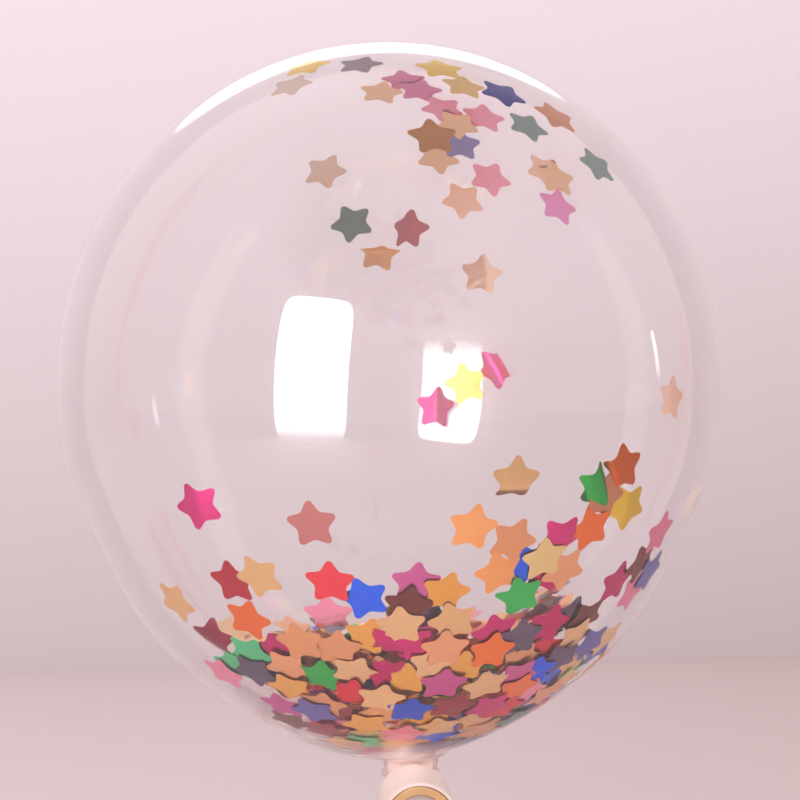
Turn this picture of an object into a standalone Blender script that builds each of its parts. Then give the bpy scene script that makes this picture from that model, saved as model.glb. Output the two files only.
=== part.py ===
"""A clear confetti balloon standing on a plastic pipe holder with a round foot.

Metres, +Z up. The origin is the centre of the foot's underside, and the holder's port faces -Y.
The balloon is sealed, so its envelope is one solid, with a socket only where the nozzle enters it.
"""

import math

import bmesh
import bpy

# Clearance that touching pieces keep to each other.
GAP = 0.0003

# Foot: a plain low disc with a boss that takes the stem.
FOOT_DIAMETER = 0.140
FOOT_THICKNESS = 0.012
FOOT_EDGE_RADIUS = 0.003
FOOT_FLOOR = 0.004
BOSS_DIAMETER = 0.034
BOSS_HEIGHT = 0.014
BOSS_EDGE_RADIUS = 0.0015

# Stem: a plain rod between the foot's boss and the holder's collar.
STEM_DIAMETER = 0.020
STEM_SHOWING = 0.050

# Holder: a moulded tee with a collar below, a nozzle above and a wide port in front.
COLLAR_WALL = 0.0033
COLLAR_HEIGHT = 0.018
STEM_SOCKET_DEPTH = 0.014
BARREL_DIAMETER = 0.022
BARREL_RISE = 0.0127
NOZZLE_DIAMETER = 0.0154
NOZZLE_BORE = 0.011
NOZZLE_LENGTH = 0.0095
PORT_DIAMETER = 0.0344
PORT_LENGTH = 0.036
PORT_LIFT = 0.0018
PORT_REAR_RADIUS = 0.003
LINK_DIAMETER = 0.0144
LINK_BORE = 0.007
MOULDED_EDGE_RADIUS = 0.0006

# Ring and plug that close the port.
RING_OUTER_DIAMETER = 0.031
RING_INNER_DIAMETER = 0.0234
RING_DEPTH = 0.004
RING_EDGE_RADIUS = 0.0005
PLUG_LENGTH = 0.009
PLUG_RECESS = 0.002

# Balloon: sizes of the inflated envelope.
BALLOON_WIDTH = 0.300
CROWN_HEIGHT = 0.1547
BODY_DEPTH = 0.1728
NECK_LENGTH = 0.0061
NECK_WALL = 0.0010
BEAD_HEIGHT = 0.003
BEAD_PROUD = 0.0012
BEAD_LIFT = 0.0005
NECK_OFFSET = 0.010
PORT_TO_BEAD = 0.0010

# Balloon: proportions of the pear-shaped lower half, as shares of its own depth or radius.
LOWER_POWER = 2.19
LOWER_ROUNDING = 1.53
WAIST_PINCH = 0.0276
WAIST_LEVEL = 0.438
WAIST_SPAN = 0.192
BEND_START = 0.955
NECK_FLARE = 0.0006
NECK_BLEND_POWER = 4

# Facets of the round pieces.
BALLOON_SIDES = 56
BALLOON_CROWN_RINGS = 14
BALLOON_LOWER_RINGS = 20
FOOT_SIDES = 48
HOLDER_SIDES = 36
STEM_SIDES = 28
EDGE_STEPS = 2

# Heights and radii that follow from the sizes above.
BOSS_TOP = FOOT_THICKNESS + BOSS_HEIGHT
STEM_BOTTOM = FOOT_FLOOR + GAP
STEM_RADIUS = STEM_DIAMETER / 2
STEM_SOCKET_RADIUS = STEM_RADIUS + GAP
HOLDER_BOTTOM = BOSS_TOP + STEM_SHOWING
STEM_TOP = HOLDER_BOTTOM + STEM_SOCKET_DEPTH - GAP
COLLAR_RADIUS = STEM_SOCKET_RADIUS + COLLAR_WALL
COLLAR_TOP = HOLDER_BOTTOM + COLLAR_HEIGHT
PORT_RADIUS = PORT_DIAMETER / 2
PORT_HEIGHT = COLLAR_TOP + PORT_LIFT + PORT_RADIUS
BARREL_RADIUS = BARREL_DIAMETER / 2
BARREL_TOP = PORT_HEIGHT + BARREL_RISE
NOZZLE_RADIUS = NOZZLE_DIAMETER / 2
NOZZLE_TOP = BARREL_TOP + NOZZLE_LENGTH
NECK_BORE_RADIUS = BARREL_RADIUS + GAP
NECK_RADIUS = NECK_BORE_RADIUS + NECK_WALL
BEAD_RADIUS = NECK_RADIUS + BEAD_PROUD
PORT_REAR = BEAD_RADIUS + PORT_TO_BEAD
PORT_FACE = PORT_REAR + PORT_LENGTH
RING_SEAT_RADIUS = RING_OUTER_DIAMETER / 2 + GAP
RING_BORE_RADIUS = RING_INNER_DIAMETER / 2
PLUG_RADIUS = RING_BORE_RADIUS - GAP
BEAD_BOTTOM = PORT_HEIGHT + LINK_DIAMETER / 2 + BEAD_LIFT
BODY_BOTTOM = BEAD_BOTTOM + BEAD_HEIGHT + NECK_LENGTH
WIDEST_LEVEL = BODY_BOTTOM + BODY_DEPTH
BALLOON_RADIUS = BALLOON_WIDTH / 2

# Turns a piece made along +Z so that it points along -Y, with a facet on top and not an edge.
FACE_FRONT = (math.radians(90), math.radians(180 / HOLDER_SIDES), 0)


def clear_scene():
    for obj in list(bpy.data.objects):
        bpy.data.objects.remove(obj, do_unlink=True)


def plain_material(name, colour, roughness, metallic=0.0, alpha=1.0):
    material = bpy.data.materials.new(name)
    material.use_nodes = True
    shader = material.node_tree.nodes["Principled BSDF"]
    shader.inputs["Base Color"].default_value = (*colour, 1.0)
    shader.inputs["Roughness"].default_value = roughness
    shader.inputs["Metallic"].default_value = metallic
    shader.inputs["Alpha"].default_value = alpha
    return material


def arc(centre_radius, centre_height, radius, start, end, steps=EDGE_STEPS):
    """Points (radius, height) of a rounded edge, from one angle in degrees to another."""
    points = []
    for step in range(steps + 1):
        angle = math.radians(start + (end - start) * step / steps)
        points.append(
            (
                centre_radius + radius * math.cos(angle),
                centre_height + radius * math.sin(angle),
            )
        )
    return points


def turned_solid(name, profile, sides, material, looped=False):
    """A turned piece. The profile lists (radius, height), and a third value moves that ring's
    centre along X. An end on the axis is a point, any other end is closed by a flat face, and
    a looped profile closes on itself."""
    mesh = bmesh.new()
    rings = []
    for radius, height, *moved in profile:
        middle = moved[0] if moved else 0.0
        if radius == 0.0:
            rings.append([mesh.verts.new((middle, 0.0, height))])
            continue
        ring = []
        for side in range(sides):
            angle = 2 * math.pi * side / sides
            x = middle + radius * math.cos(angle)
            ring.append(mesh.verts.new((x, radius * math.sin(angle), height)))
        rings.append(ring)
    pairs = list(zip(rings, rings[1:]))
    if looped:
        pairs.append((rings[-1], rings[0]))
    else:
        for end in (rings[0], rings[-1]):
            if len(end) > 1:
                mesh.faces.new(end)
    for lower, upper in pairs:
        for side in range(sides):
            after = (side + 1) % sides
            corners = [lower[side % len(lower)], lower[after % len(lower)]]
            corners += [upper[after % len(upper)], upper[side % len(upper)]]
            mesh.faces.new(list(dict.fromkeys(corners)))
    bmesh.ops.recalc_face_normals(mesh, faces=mesh.faces)
    data = bpy.data.meshes.new(name)
    mesh.to_mesh(data)
    mesh.free()
    data.materials.append(material)
    data.shade_smooth()
    data.set_sharp_from_angle(angle=math.radians(35))
    obj = bpy.data.objects.new(name, data)
    bpy.context.collection.objects.link(obj)
    return obj


def boolean(target, tool, operation):
    """Joins or cuts with a helper, which stays in the file as a hidden wire object."""
    tool.hide_render = True
    tool.display_type = "WIRE"
    modifier = target.modifiers.new(f"{operation.lower()} {tool.name}", "BOOLEAN")
    modifier.operation = operation
    modifier.solver = "EXACT"
    modifier.object = tool


def make_foot():
    material = plain_material("cream_foot_plastic", (0.80, 0.70, 0.66), 0.42)
    edge = FOOT_EDGE_RADIUS
    rim = FOOT_DIAMETER / 2 - edge
    boss_edge = BOSS_DIAMETER / 2 - BOSS_EDGE_RADIUS
    profile = arc(rim, edge, edge, -90, 0)
    profile += arc(rim, FOOT_THICKNESS - edge, edge, 0, 90)
    profile += [(BOSS_DIAMETER / 2, FOOT_THICKNESS)]
    profile += arc(boss_edge, BOSS_TOP - BOSS_EDGE_RADIUS, BOSS_EDGE_RADIUS, 0, 90)
    profile += [(STEM_SOCKET_RADIUS, BOSS_TOP), (STEM_SOCKET_RADIUS, FOOT_FLOOR)]
    return turned_solid("stand_foot", profile, FOOT_SIDES, material)


def make_stem():
    material = plain_material("cream_rod_plastic", (0.80, 0.70, 0.66), 0.38)
    profile = [(STEM_RADIUS, STEM_BOTTOM), (STEM_RADIUS, STEM_TOP)]
    return turned_solid("stand_stem", profile, STEM_SIDES, material)


def make_holder():
    """The tee: barrel, collar and nozzle turned as one, the port joined on, then the bores cut."""
    material = plain_material("cream_moulded_plastic", (0.83, 0.73, 0.69), 0.34)
    edge = MOULDED_EDGE_RADIUS
    profile = arc(COLLAR_RADIUS - edge, HOLDER_BOTTOM + edge, edge, -90, 0)
    profile += arc(COLLAR_RADIUS - edge, COLLAR_TOP - edge, edge, 0, 90)
    profile += [(BARREL_RADIUS, COLLAR_TOP)]
    profile += arc(BARREL_RADIUS - edge, BARREL_TOP - edge, edge, 0, 90)
    profile += [(NOZZLE_RADIUS, BARREL_TOP)]
    profile += arc(NOZZLE_RADIUS - edge, NOZZLE_TOP - edge, edge, 0, 90)
    holder = turned_solid("holder_tee", profile, HOLDER_SIDES, material)

    boolean(holder, make_port_body(material), "UNION")
    boolean(holder, make_vertical_bore(material), "DIFFERENCE")
    boolean(holder, make_port_bore(material), "DIFFERENCE")
    return holder


def make_port_body(material):
    """The wide port and the short link behind it, along the port's own axis from the barrel."""
    rear = PORT_REAR_RADIUS
    edge = MOULDED_EDGE_RADIUS
    link = LINK_DIAMETER / 2
    profile = [(link, 0.0), (link, PORT_REAR)]
    profile += arc(PORT_RADIUS - rear, PORT_REAR + rear, rear, -90, 0)
    profile += arc(PORT_RADIUS - edge, PORT_FACE - edge, edge, 0, 90)
    body = turned_solid("join_port_body", profile, HOLDER_SIDES, material)
    body.rotation_euler = FACE_FRONT
    body.location = (0, 0, PORT_HEIGHT)
    return body


def make_vertical_bore(material):
    """The nozzle's bore down to the socket that takes the stem."""
    bore = NOZZLE_BORE / 2
    socket_top = HOLDER_BOTTOM + STEM_SOCKET_DEPTH
    beyond = COLLAR_WALL
    profile = [(STEM_SOCKET_RADIUS, HOLDER_BOTTOM - beyond), (STEM_SOCKET_RADIUS, socket_top)]
    profile += [(bore, socket_top), (bore, NOZZLE_TOP + beyond)]
    return turned_solid("cut_vertical_bore", profile, HOLDER_SIDES, material)


def make_port_bore(material):
    """The seats of the ring and the plug, and the narrow bore on to the barrel."""
    seat = PORT_FACE - RING_DEPTH - GAP
    plug_end = PORT_FACE - PLUG_RECESS - PLUG_LENGTH - GAP
    beyond = PORT_FACE + COLLAR_WALL
    profile = [(LINK_BORE / 2, 0.0), (LINK_BORE / 2, plug_end)]
    profile += [(RING_BORE_RADIUS, plug_end), (RING_BORE_RADIUS, seat)]
    profile += [(RING_SEAT_RADIUS, seat), (RING_SEAT_RADIUS, beyond)]
    bore = turned_solid("cut_port_bore", profile, HOLDER_SIDES, material)
    bore.rotation_euler = FACE_FRONT
    bore.location = (0, 0, PORT_HEIGHT)
    return bore


def make_port_ring():
    material = plain_material("amber_brass", (0.76, 0.47, 0.26), 0.30, metallic=0.6)
    outer = RING_OUTER_DIAMETER / 2
    back = PORT_FACE - RING_DEPTH
    edge = RING_EDGE_RADIUS
    profile = [(RING_BORE_RADIUS, back), (outer, back)]
    profile += arc(outer - edge, PORT_FACE - edge, edge, 0, 90)
    profile += arc(RING_BORE_RADIUS + edge, PORT_FACE - edge, edge, 90, 180)
    ring = turned_solid("port_ring", profile, HOLDER_SIDES, material, looped=True)
    ring.rotation_euler = FACE_FRONT
    ring.location = (0, 0, PORT_HEIGHT)
    return ring


def make_port_plug():
    material = plain_material("grey_plug_plastic", (0.62, 0.56, 0.54), 0.45)
    face = PORT_FACE - PLUG_RECESS
    edge = MOULDED_EDGE_RADIUS
    profile = [(PLUG_RADIUS, face - PLUG_LENGTH)]
    profile += arc(PLUG_RADIUS - edge, face - edge, edge, 0, 90)
    plug = turned_solid("port_plug", profile, HOLDER_SIDES, material)
    plug.rotation_euler = FACE_FRONT
    plug.location = (0, 0, PORT_HEIGHT)
    return plug


def envelope_ring(height):
    """One ring of the envelope's outside: its radius, its height and its centre along X."""
    return envelope_radius(height), height, envelope_centre(height)


def envelope_radius(height):
    """The body's radius at a height, blended into the neck's where the body ends."""
    rise = height - WIDEST_LEVEL
    if rise >= 0:
        return BALLOON_RADIUS * math.sqrt(max(0.0, 1 - (rise / CROWN_HEIGHT) ** 2))
    share = min(1.0, -rise / BODY_DEPTH)
    swell = (1 - share**LOWER_POWER) ** (1 / LOWER_ROUNDING)
    waist = 1 - WAIST_PINCH * math.exp(-(((share - WAIST_LEVEL) / WAIST_SPAN) ** 2))
    below = (height - BEAD_BOTTOM) / (BODY_BOTTOM - BEAD_BOTTOM)
    neck = NECK_RADIUS + NECK_FLARE * min(1.0, below)
    blend = share**NECK_BLEND_POWER
    return math.hypot(BALLOON_RADIUS * swell * waist, neck * blend)


def envelope_centre(height):
    """The body stands beside the neck's axis, and its lowest rings bend across to it."""
    share = (WIDEST_LEVEL - height) / BODY_DEPTH
    bend = max(0.0, min(1.0, (share - BEND_START) / (1 - BEND_START)))
    return -NECK_OFFSET * (1 - bend * bend * (3 - 2 * bend))


def make_balloon():
    material = plain_material("clear_latex", (0.93, 0.86, 0.87), 0.05, alpha=0.3)
    bead_top = BEAD_BOTTOM + BEAD_HEIGHT
    nozzle_socket_top = NOZZLE_TOP + GAP
    shoulder = BARREL_TOP + GAP
    socket_radius = NOZZLE_RADIUS + GAP

    profile = [(0.0, WIDEST_LEVEL + CROWN_HEIGHT, -NECK_OFFSET)]
    for step in range(1, BALLOON_CROWN_RINGS + 1):
        angle = 0.5 * math.pi * (1 - step / BALLOON_CROWN_RINGS)
        profile.append(envelope_ring(WIDEST_LEVEL + CROWN_HEIGHT * math.sin(angle)))
    for step in range(1, BALLOON_LOWER_RINGS + 1):
        angle = 0.5 * math.pi * step / BALLOON_LOWER_RINGS
        profile.append(envelope_ring(WIDEST_LEVEL - BODY_DEPTH * math.sin(angle)))
    profile.append(envelope_ring(bead_top))
    for degrees in (30, 65, 90, 115, 150):
        turn = math.radians(degrees)
        height = bead_top - BEAD_HEIGHT * (1 - math.cos(turn)) / 2
        profile.append((NECK_RADIUS + BEAD_PROUD * math.sin(turn), height))
    profile.append((NECK_RADIUS, BEAD_BOTTOM))
    profile += [(NECK_BORE_RADIUS, BEAD_BOTTOM), (NECK_BORE_RADIUS, shoulder)]
    profile += [(socket_radius, shoulder), (socket_radius, nozzle_socket_top)]
    return turned_solid("balloon_envelope", profile, BALLOON_SIDES, material)


def main():
    clear_scene()
    make_foot()
    make_stem()
    make_holder()
    make_port_ring()
    make_port_plug()
    make_balloon()


if __name__ == "__main__":
    main()
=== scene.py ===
import math
import random

import bmesh
import bpy
from bpy.props import FloatProperty, IntProperty, PointerProperty, StringProperty
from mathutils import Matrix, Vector
from mathutils.bvhtree import BVHTree


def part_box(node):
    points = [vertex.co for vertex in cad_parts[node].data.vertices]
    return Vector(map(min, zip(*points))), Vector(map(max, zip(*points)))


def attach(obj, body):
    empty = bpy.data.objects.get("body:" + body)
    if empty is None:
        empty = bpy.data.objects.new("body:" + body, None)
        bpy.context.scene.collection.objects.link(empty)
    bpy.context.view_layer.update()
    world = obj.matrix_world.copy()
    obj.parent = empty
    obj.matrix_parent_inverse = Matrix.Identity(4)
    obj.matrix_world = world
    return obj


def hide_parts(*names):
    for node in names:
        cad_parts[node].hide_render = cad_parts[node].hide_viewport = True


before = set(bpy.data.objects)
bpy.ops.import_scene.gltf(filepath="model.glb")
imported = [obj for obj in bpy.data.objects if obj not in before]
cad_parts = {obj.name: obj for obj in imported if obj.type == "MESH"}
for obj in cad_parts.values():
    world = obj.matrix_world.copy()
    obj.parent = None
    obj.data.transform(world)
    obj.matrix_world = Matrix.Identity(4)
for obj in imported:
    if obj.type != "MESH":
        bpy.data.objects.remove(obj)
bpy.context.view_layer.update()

bl_info = {
    "name": "Confetti Balloon",
    "version": (1, 0, 0),
    "blender": (4, 5, 0),
    "location": "3D Viewport > Sidebar > Balloon",
    "description": "Makes a clear balloon of foil star confetti on a plastic pipe holder",
    "category": "Add Mesh",
}

# The solids' boxes at rest, which the sizes below start from.
BALLOON_LOW, BALLOON_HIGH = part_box("balloon_envelope")
TEE_LOW, TEE_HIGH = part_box("holder_tee")
RING_LOW, RING_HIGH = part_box("port_ring")
PLUG_LOW, PLUG_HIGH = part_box("port_plug")
STEM_LOW, STEM_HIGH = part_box("stand_stem")
FOOT_LOW, FOOT_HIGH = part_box("stand_foot")
BODY = "root"

# The photograph's frame in pixels, and where the middle of the balloon stands in it.
FRAME_SIDE = 800
BALLOON_ACROSS = 388.5
BALLOON_DOWN = 385.0


def length_setting(name, description, default):
    return FloatProperty(name=name, description=description, default=default, unit="LENGTH")


def angle_setting(name, description, degrees):
    return FloatProperty(name=name, description=description, default=math.radians(degrees), subtype="ANGLE")


def share_setting(name, description, default):
    return FloatProperty(name=name, description=description, default=default, subtype="FACTOR")


def colour_setting(name, description, default):
    return StringProperty(name=name, description=f"{description}, as sRGB hex", default=default)


class BalloonSettings(bpy.types.PropertyGroup):
    """Sizes and colours of the clear latex balloon."""

    width: length_setting("Width", "Across the widest level", BALLOON_HIGH.x - BALLOON_LOW.x)
    crown_height: length_setting("Crown height", "From the widest level up to the top", 0.1547)
    body_depth: length_setting("Body depth", "From the widest level down to the neck", 0.1728)
    lean: length_setting("Lean", "How far the body's axis stands to the left of the neck's", 0.010)
    skin_wall: length_setting("Skin wall", "Thickness of the stretched skin", 0.00025)
    neck_diameter: length_setting("Neck diameter", "Outside of the neck where it grips the barrel", 0.0246)
    neck_wall: length_setting("Neck wall", "Thickness of the unstretched neck", 0.0010)
    bead_height: length_setting("Bead height", "Height of the rolled bead at the neck's foot", 0.0030)
    bead_proud: length_setting("Bead proud", "How far the rolled bead stands out from the neck", 0.0012)
    skin_hex: colour_setting("Skin colour", "Tint of the clear skin", "FBF6F7")
    neck_hex: colour_setting("Neck colour", "Tint of the unstretched neck", "FCEAE4")
    skin_alpha: share_setting("Skin milkiness", "Share that the skin's outer face spreads as haze", 0.27)
    gloss_alpha: share_setting("Skin gloss", "Share that the skin's inner face may mirror", 0.066)
    neck_alpha: share_setting("Neck milkiness", "Share that one face of the neck holds back", 0.75)


class ConfettiSettings(bpy.types.PropertyGroup):
    """Sizes of the foil stars and of the pile that they make."""

    star_width: length_setting("Star width", "Diameter of the circle through a star's tips", 0.0217)
    foil_thickness: length_setting("Foil thickness", "Thickness of the metallised film", 0.00012)
    layer_gap: length_setting("Layer gap", "Air between two stars that lie on each other", 0.0007)
    spacing: length_setting("Spacing", "Least distance between strewn stars", 0.0100)
    pile_stars: IntProperty(
        name="Stars at the back", description="How many loose stars fill the rest of the pile", default=190
    )
    seed: IntProperty(name="Seed", description="Fixes the random fall of the pile", default=7)


class HolderSettings(bpy.types.PropertyGroup):
    """Sizes and colours of the pipe tee, its ring and plug, and the stand."""

    port_diameter: length_setting("Port diameter", "Outside of the port", 0.0344)
    nozzle_diameter: length_setting("Nozzle diameter", "Outside of the nozzle", 0.0154)
    cream_hex: colour_setting("Cream plastic", "Colour of the moulded tee", "F2DCD4")
    amber_hex: colour_setting("Amber ring", "Colour of the port's ring", "F0C48C")
    grey_hex: colour_setting("Grey plug", "Colour of the port's plug", "E2D4D0")


class StageSettings(bpy.types.PropertyGroup):
    """The plain studio and the camera."""

    distance: length_setting("Camera distance", "From the camera to the middle of the balloon", 1.35)
    left: angle_setting("Camera to the left", "How far round to the left the camera stands", 4.5)
    above: angle_setting("Camera above", "How far above the horizontal the camera stands", 7.3)
    lens: FloatProperty(name="Lens", description="Focal length in mm on a 36 mm sensor", default=133.8)
    wall_distance: length_setting("Wall distance", "From the balloon's middle to the wall behind it", 0.77)
    wall_hex: colour_setting("Wall colour", "Colour of the wall", "F7EAEF")
    # The wall's foot colour is painted shade: the wall is drawn darker towards the floor, where less of the
    # light from above reaches.
    wall_foot_shade_hex: colour_setting("Wall foot colour", "Colour of the wall's foot", "D5C6C9")
    floor_hex: colour_setting("Floor colour", "Colour of the table on the left", "E4D3D5")
    # The table's right colour is painted shade: the table is drawn darker and pinker towards the right.
    floor_right_shade_hex: colour_setting("Floor colour on the right", "Colour of the table on the right", "DFCACA")


def linear(code, alpha=1.0):
    """An sRGB hex code as linear red, green, blue and alpha."""
    channels = []
    for start in (0, 2, 4):
        value = int(code[start : start + 2], 16) / 255
        channels.append(value / 12.92 if value <= 0.04045 else ((value + 0.055) / 1.055) ** 2.4)
    return (*channels, alpha)


def add_node(tree, kind, inputs=None, **settings):
    """Adds a node: its own settings, and its inputs by name or number, linked or set."""
    node = tree.nodes.new(kind)
    for name, value in settings.items():
        setattr(node, name, value)
    for socket, value in (inputs or {}).items():
        if isinstance(value, bpy.types.NodeSocket):
            tree.links.new(value, node.inputs[socket])
        else:
            node.inputs[socket].default_value = value
    return node


def math_node(tree, operation, *values, **settings):
    """The result of a math node with these inputs."""
    inputs = dict(enumerate(values))
    return add_node(tree, "ShaderNodeMath", inputs, operation=operation, **settings).outputs[0]


def vector_node(tree, operation, inputs):
    """The result of a vector math node."""
    return add_node(tree, "ShaderNodeVectorMath", inputs, operation=operation).outputs[0]


def mixed_colour(tree, factor, first, second):
    """The result of mixing two linear colours."""
    inputs = {"Factor": factor, 6: first, 7: second}
    return add_node(tree, "ShaderNodeMix", inputs, data_type="RGBA").outputs[2]


def noise(tree, place, scale, detail):
    """A noise over the object's own coordinates, with about scale cells in a metre."""
    inputs = {"Vector": place.outputs["Object"], "Scale": scale, "Detail": detail}
    return add_node(tree, "ShaderNodeTexNoise", inputs).outputs[0]


def bumped(tree, shader, height, strength, distance):
    """Lets a height from 0 to 1, distance metres deep at full strength, bend the normal."""
    bump = add_node(tree, "ShaderNodeBump", {"Height": height, "Strength": strength, "Distance": distance})
    tree.links.new(bump.outputs[0], shader.inputs["Normal"])


def new_material(name):
    """An empty material, its node tree and its lone Principled shader, already linked up."""
    material = bpy.data.materials.new(name)
    material.use_nodes = True
    tree = material.node_tree
    tree.nodes.clear()
    shader = add_node(tree, "ShaderNodeBsdfPrincipled")
    add_node(tree, "ShaderNodeOutputMaterial", {"Surface": shader.outputs[0]})
    return material, tree, shader


def new_object(name, mesh):
    """An object at the origin for a finished mesh."""
    obj = bpy.data.objects.new(name, mesh)
    bpy.context.scene.collection.objects.link(obj)
    return obj


def arc(centre_radius, centre_height, radius, start, end, steps=6):
    """Points (radius, height) of a rounded edge, from one angle in degrees to another."""
    points = []
    for step in range(steps + 1):
        angle = math.radians(start + (end - start) * step / steps)
        points.append((centre_radius + radius * math.cos(angle), centre_height + radius * math.sin(angle)))
    return points


def turned_rings(mesh, profile, sides, looped=False):
    """Adds a turned body to a bmesh. The profile lists (radius, height), and a third value moves
    that ring's centre along X. An end on the axis is a point, any other end gets a flat face."""
    rings = []
    for radius, height, *moved in profile:
        middle = moved[0] if moved else 0.0
        if radius == 0.0:
            rings.append([mesh.verts.new((middle, 0.0, height))])
            continue
        ring = []
        for side in range(sides):
            angle = 2 * math.pi * side / sides
            ring.append(mesh.verts.new((middle + radius * math.cos(angle), radius * math.sin(angle), height)))
        rings.append(ring)
    pairs = list(zip(rings, rings[1:]))
    if looped:
        pairs.append((rings[-1], rings[0]))
    else:
        for end in (rings[0], rings[-1]):
            if len(end) > 1:
                mesh.faces.new(end)
    for lower, upper in pairs:
        for side in range(sides):
            after = (side + 1) % sides
            corners = [lower[side % len(lower)], lower[after % len(lower)]]
            corners += [upper[after % len(upper)], upper[side % len(upper)]]
            mesh.faces.new(list(dict.fromkeys(corners)))


def finish_mesh(mesh, name, material=None, sharp=35):
    """Turns a bmesh into a smooth mesh whose faces point out."""
    bmesh.ops.recalc_face_normals(mesh, faces=mesh.faces)
    data = bpy.data.meshes.new(name)
    mesh.to_mesh(data)
    mesh.free()
    if material:
        data.materials.append(material)
    data.shade_smooth()
    data.set_sharp_from_angle(angle=math.radians(sharp))
    return data


# The balloon's shape: the same rule as its solid, drawn finer.

LOWER_POWER = 2.19
LOWER_ROUNDING = 1.53
WAIST_PINCH = 0.0276
WAIST_LEVEL = 0.438
WAIST_SPAN = 0.192
BEND_START = 0.955
NECK_FLARE = 0.0006
NECK_BLEND_POWER = 4
THICKENING = 0.030


def widest_level(sizes):
    return BALLOON_HIGH.z - sizes.crown_height


def body_bottom(sizes):
    return widest_level(sizes) - sizes.body_depth


def envelope_radius(sizes, height):
    """The body's outer radius at a height, blended into the neck's where the body ends."""
    rise = height - widest_level(sizes)
    if rise >= 0:
        return sizes.width / 2 * math.sqrt(max(0.0, 1 - (rise / sizes.crown_height) ** 2))
    share = min(1.0, -rise / sizes.body_depth)
    swell = (1 - share**LOWER_POWER) ** (1 / LOWER_ROUNDING)
    waist = 1 - WAIST_PINCH * math.exp(-(((share - WAIST_LEVEL) / WAIST_SPAN) ** 2))
    below = (height - BALLOON_LOW.z) / (body_bottom(sizes) - BALLOON_LOW.z)
    neck = sizes.neck_diameter / 2 + NECK_FLARE * min(1.0, below)
    return math.hypot(sizes.width / 2 * swell * waist, neck * share**NECK_BLEND_POWER)


def envelope_centre(sizes, height):
    """The body stands beside the neck's axis, and its lowest rings bend across to it."""
    share = (widest_level(sizes) - height) / sizes.body_depth
    bend = max(0.0, min(1.0, (share - BEND_START) / (1 - BEND_START)))
    return -sizes.lean * (1 - bend * bend * (3 - 2 * bend))


def skin_thickness(sizes, height):
    """The skin is stretched thin over the body, and thickens over the last 30 mm to the neck."""
    share = max(0.0, min(1.0, 1 - (height - body_bottom(sizes)) / THICKENING))
    return sizes.skin_wall + (sizes.neck_wall - sizes.skin_wall) * share * share


def outer_profile(sizes, crown_rings=56, lower_rings=84):
    """The skin's outside from the top down to the neck's foot, as (radius, height, centre)."""
    level = widest_level(sizes)
    heights = []
    for step in range(1, crown_rings + 1):
        heights.append(level + sizes.crown_height * math.sin(0.5 * math.pi * (1 - step / crown_rings)))
    for step in range(1, lower_rings + 1):
        heights.append(level - sizes.body_depth * math.sin(0.5 * math.pi * step / lower_rings))
    bead_top = BALLOON_LOW.z + sizes.bead_height
    for step in range(1, 5):
        heights.append(body_bottom(sizes) + (bead_top - body_bottom(sizes)) * step / 4)
    return [(envelope_radius(sizes, z), z, envelope_centre(sizes, z)) for z in heights]


def inner_profile(sizes, outer):
    """The outside moved inwards by the skin's thickness, along the surface's own normal."""
    points = []
    for index, (radius, height, centre) in enumerate(outer):
        before = outer[index - 1] if index else (0.0, BALLOON_HIGH.z, centre)
        after = outer[min(index + 1, len(outer) - 1)]
        along = Vector((after[0] - before[0], after[1] - before[1])).normalized()
        thickness = skin_thickness(sizes, height)
        points.append((radius + thickness * along.y, height - thickness * along.x, centre))
    return points


def bead_profile(sizes):
    """The rolled bead below the neck, and the bore that grips the barrel."""
    neck = sizes.neck_diameter / 2
    points = []
    for degrees in range(20, 161, 14):
        turn = math.radians(degrees)
        height = BALLOON_LOW.z + sizes.bead_height * (1 + math.cos(turn)) / 2
        points.append((neck + sizes.bead_proud * math.sin(turn), height))
    bore = neck - sizes.neck_wall
    return points + [(neck, BALLOON_LOW.z), (bore, BALLOON_LOW.z), (bore, BALLOON_LOW.z + sizes.bead_height)]


SKIN_SIDES = 168

# Bands of the skin by height above the body's bottom, each milkier than the one above it.
NECK_BANDS = (0.045, 0.036, 0.028, 0.021, 0.015, 0.010, 0.005)

# How slowly the bands turn milky, and the last of them whose inner face is still clear.
BAND_EASE = 1.5
LAST_CLEAR_BAND = 3

# The haze: how rough it is and its index. The coats' indices make up for what alpha takes away.
HAZE_ROUGHNESS = 0.85
HAZE_INDEX = 1.09
OUTER_COAT_INDEX = 2.9
INNER_COAT_INDEX = 4.0


def latex_material(name, tint, alpha, haze, bend, shine):
    """Dipped latex, stretched clear and glossy. Its outer face is milky: the light that it holds
    back goes on as a wide haze, so what touches the skin stays sharp and what is far pales. Its
    inner face lets light straight through and only shines. Alpha weakens the shine, so the
    coat's IOR is raised until both faces together mirror about as much as real latex does."""
    material, _, shader = new_material(name)
    shader.inputs["Base Color"].default_value = tint
    shader.inputs["Alpha"].default_value = alpha
    shader.inputs["Transmission Weight"].default_value = 1.0
    shader.inputs["Roughness"].default_value = haze
    shader.inputs["IOR"].default_value = bend
    shader.inputs["Coat Weight"].default_value = 1.0
    shader.inputs["Coat Roughness"].default_value = 0.015
    shader.inputs["Coat IOR"].default_value = shine
    return material


def mix_hex(first, second, share):
    """A colour between two sRGB hex codes, mixed as light."""
    return tuple(a + (b - a) * share for a, b in zip(linear(first), linear(second)))


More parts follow.
